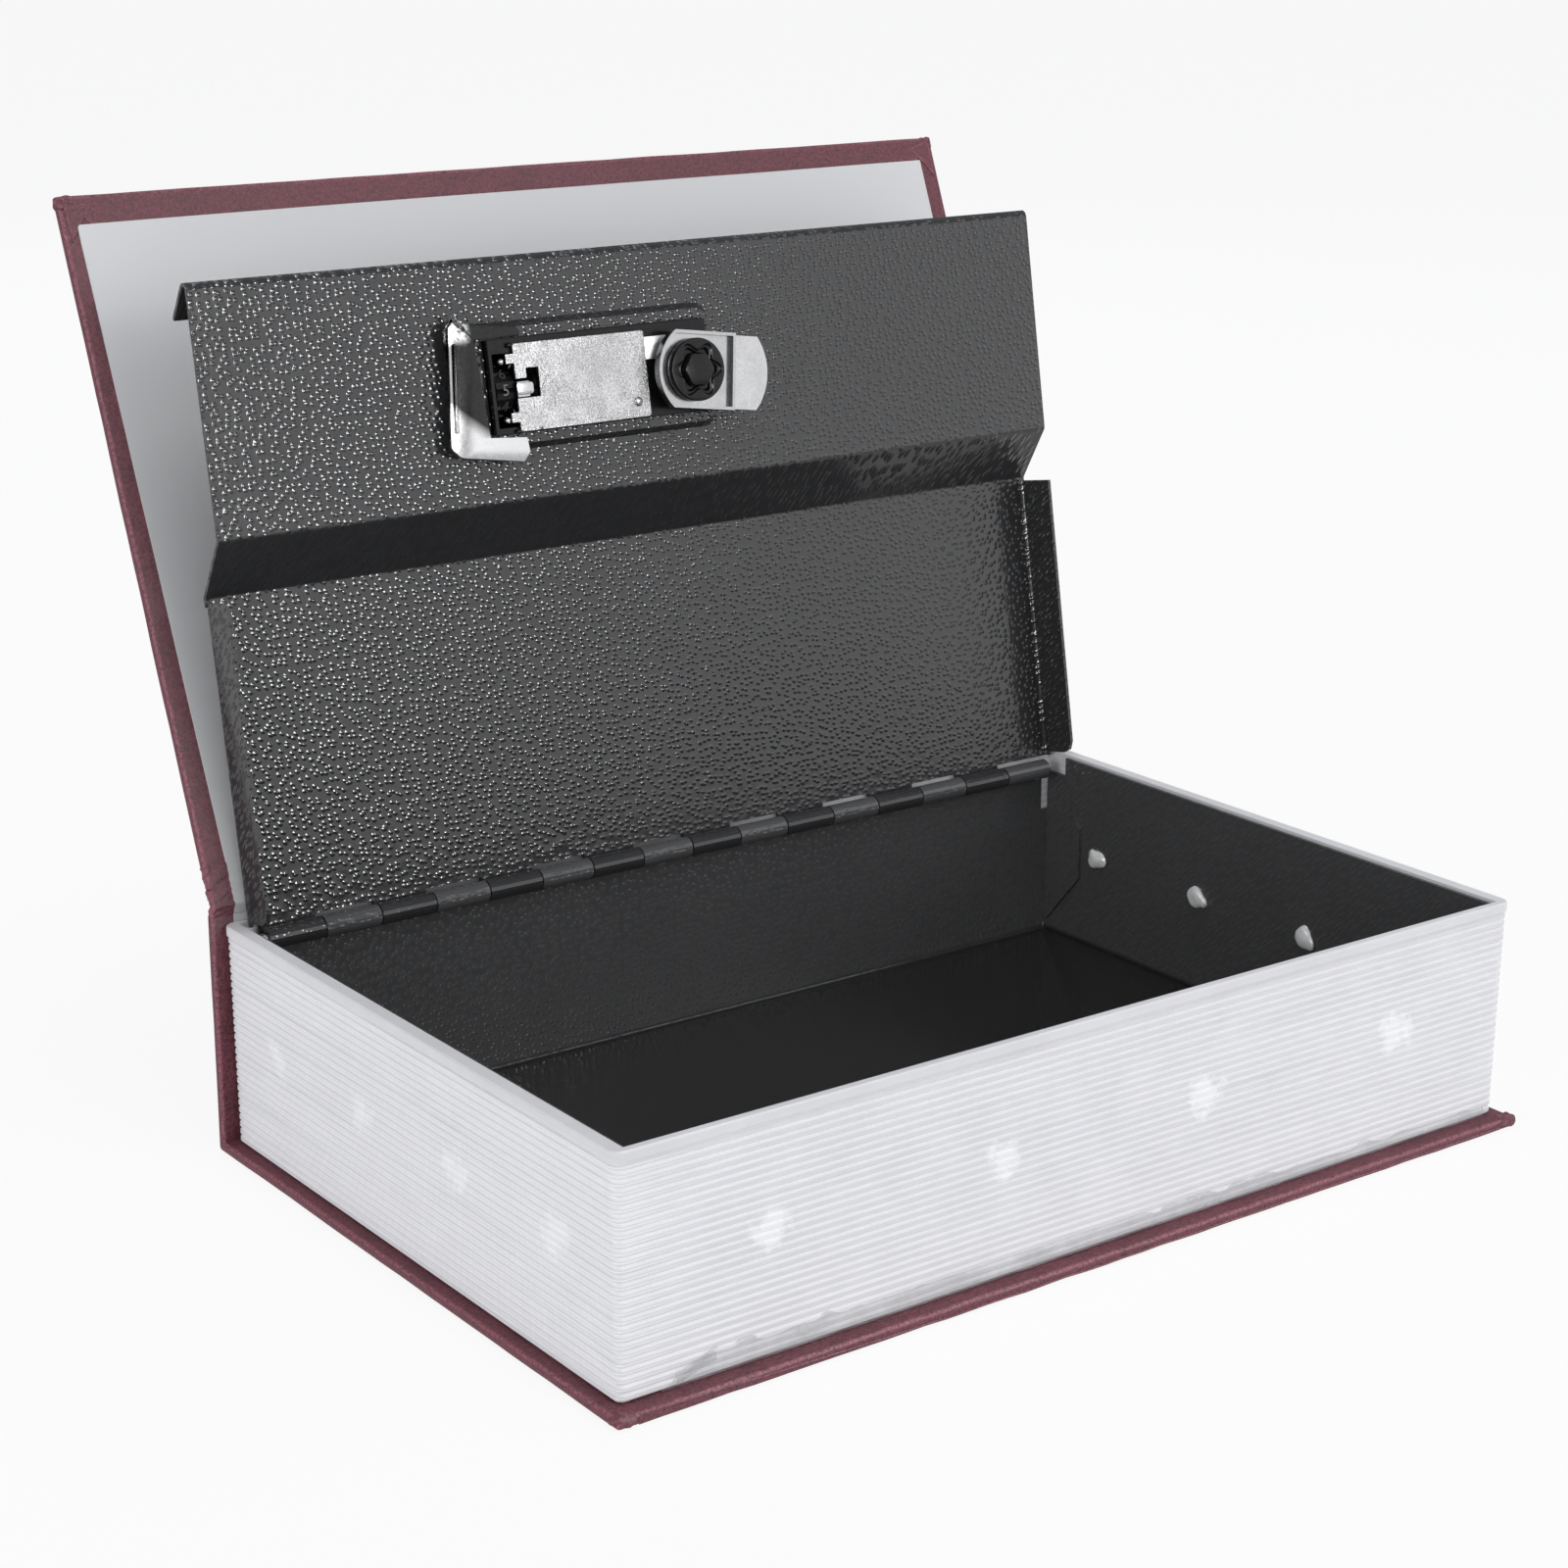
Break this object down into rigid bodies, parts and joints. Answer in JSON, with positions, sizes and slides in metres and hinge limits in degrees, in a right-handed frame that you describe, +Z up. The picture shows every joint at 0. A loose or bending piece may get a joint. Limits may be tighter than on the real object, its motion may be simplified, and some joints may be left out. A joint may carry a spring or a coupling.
{
  "type": "book safe",
  "caption": "Imitation hard-cover book whose ribbed page block holds a folded steel cash box with a stepped, piano-hinged steel lid and a combination cam lock.",
  "frame": {"origin": "centre of the underside of the back board, on the surface the book lies on", "axes": "+X along the book's long side, -Y towards the fore edge, +Y towards the spine and the hinge, +Z up"},
  "size_m": [0.2364, 0.2123, 0.1985],
  "materials": {
    "greyboard": "matt pressed board",
    "book_cloth": "fine linen weave, burgundy",
    "endpaper": "glossy coated light grey paper",
    "page_plastic": "moulded, slightly glossy, ribbed outside",
    "hammertone_box": "dark grey hammertone stove enamel",
    "hammertone_lid": "dark grey hammertone stove enamel",
    "plain_steel": "plain bright steel",
    "glue": "milky hot-melt glue",
    "black_moulding": "black moulded plastic",
    "bright_plate": "bright pressed spring steel",
    "plated_latch": "bright plated steel"
  },
  "bodies": {
    "case": {"back_board": "greyboard", "spine_board": "greyboard", "case_cloth": "book_cloth", "page_block": "page_plastic", "steel_box": "hammertone_box", "strike_bracket": "plain_steel", "hinge_pin": "plain_steel", "glue_plug_left_1": "glue", "glue_plug_left_2": "glue", "glue_plug_left_3": "glue", "glue_plug_left_4": "glue", "glue_plug_right_1": "glue", "glue_plug_right_2": "glue", "glue_plug_right_3": "glue", "glue_plug_right_4": "glue", "glue_plug_front_1": "glue", "glue_plug_front_2": "glue", "glue_plug_front_3": "glue", "glue_plug_front_4": "glue"},
    "crease": {"crease_cloth": "book_cloth"},
    "front_cover": {"front_board": "greyboard", "cover_cloth": "book_cloth", "front_endpaper": "endpaper"},
    "lid": {"lid_panel": "hammertone_lid", "lock_body": "black_moulding", "lock_back_plate": "bright_plate", "retaining_clip": "bright_plate", "lever_spring": "plain_steel"},
    "dial_a": {"dial_1": "black_moulding", "code_sleeve_1": "plain_steel"},
    "dial_b": {"dial_2": "black_moulding", "code_sleeve_2": "plain_steel"},
    "dial_c": {"dial_3": "black_moulding", "code_sleeve_3": "plain_steel"},
    "code_lever": {"dial_shaft": "plain_steel"},
    "latch": {"knob": "plated_latch", "lock_spindle": "plain_steel", "latch_tongue": "plated_latch", "cam_cup": "plated_latch", "star_nut": "black_moulding"}
  },
  "joints": [
    {"name": "lid_hinge", "type": "hinge", "parent": "case", "child": "lid", "pos_m": [0, 0.07045, 0.0483], "axis": [-1, 0, 0], "range_deg": [-99.9, 0]},
    {"name": "crease_hinge", "type": "hinge", "parent": "case", "child": "crease", "pos_m": [0, 0.07645, 0.05475], "axis": [-1, 0, 0], "range_deg": [-111.9, 0]},
    {"name": "cover_hinge", "type": "hinge", "parent": "crease", "child": "front_cover", "pos_m": [0, 0.08009, 0.06261], "axis": [-1, 0, 0], "range_deg": [0, 158]},
    {"name": "latch_turn", "type": "hinge", "parent": "lid", "child": "latch", "pos_m": [0.0049, 0.08205, 0.15662], "axis": [0, -0.9851, 0.1719], "range_deg": [0, 98]},
    {"name": "dial_a_spin", "type": "hinge", "parent": "lid", "child": "dial_a", "pos_m": [-0.04175, 0.08343, 0.15638], "axis": [1, 0, 0], "continuous": true},
    {"name": "dial_b_spin", "type": "hinge", "parent": "lid", "child": "dial_b", "pos_m": [-0.03215, 0.08343, 0.15638], "axis": [1, 0, 0], "continuous": true},
    {"name": "dial_c_spin", "type": "hinge", "parent": "lid", "child": "dial_c", "pos_m": [-0.02255, 0.08343, 0.15638], "axis": [1, 0, 0], "continuous": true},
    {"name": "code_lever_slide", "type": "slide", "parent": "lid", "child": "code_lever", "axis": [1, 0, 0], "range_m": [0, 0.0016], "deforming": ["lever_spring"]}
  ],
  "couplings": [
    {"joint": "crease_hinge", "follows": "lid_hinge", "ratio": 1.1201}
  ]
}
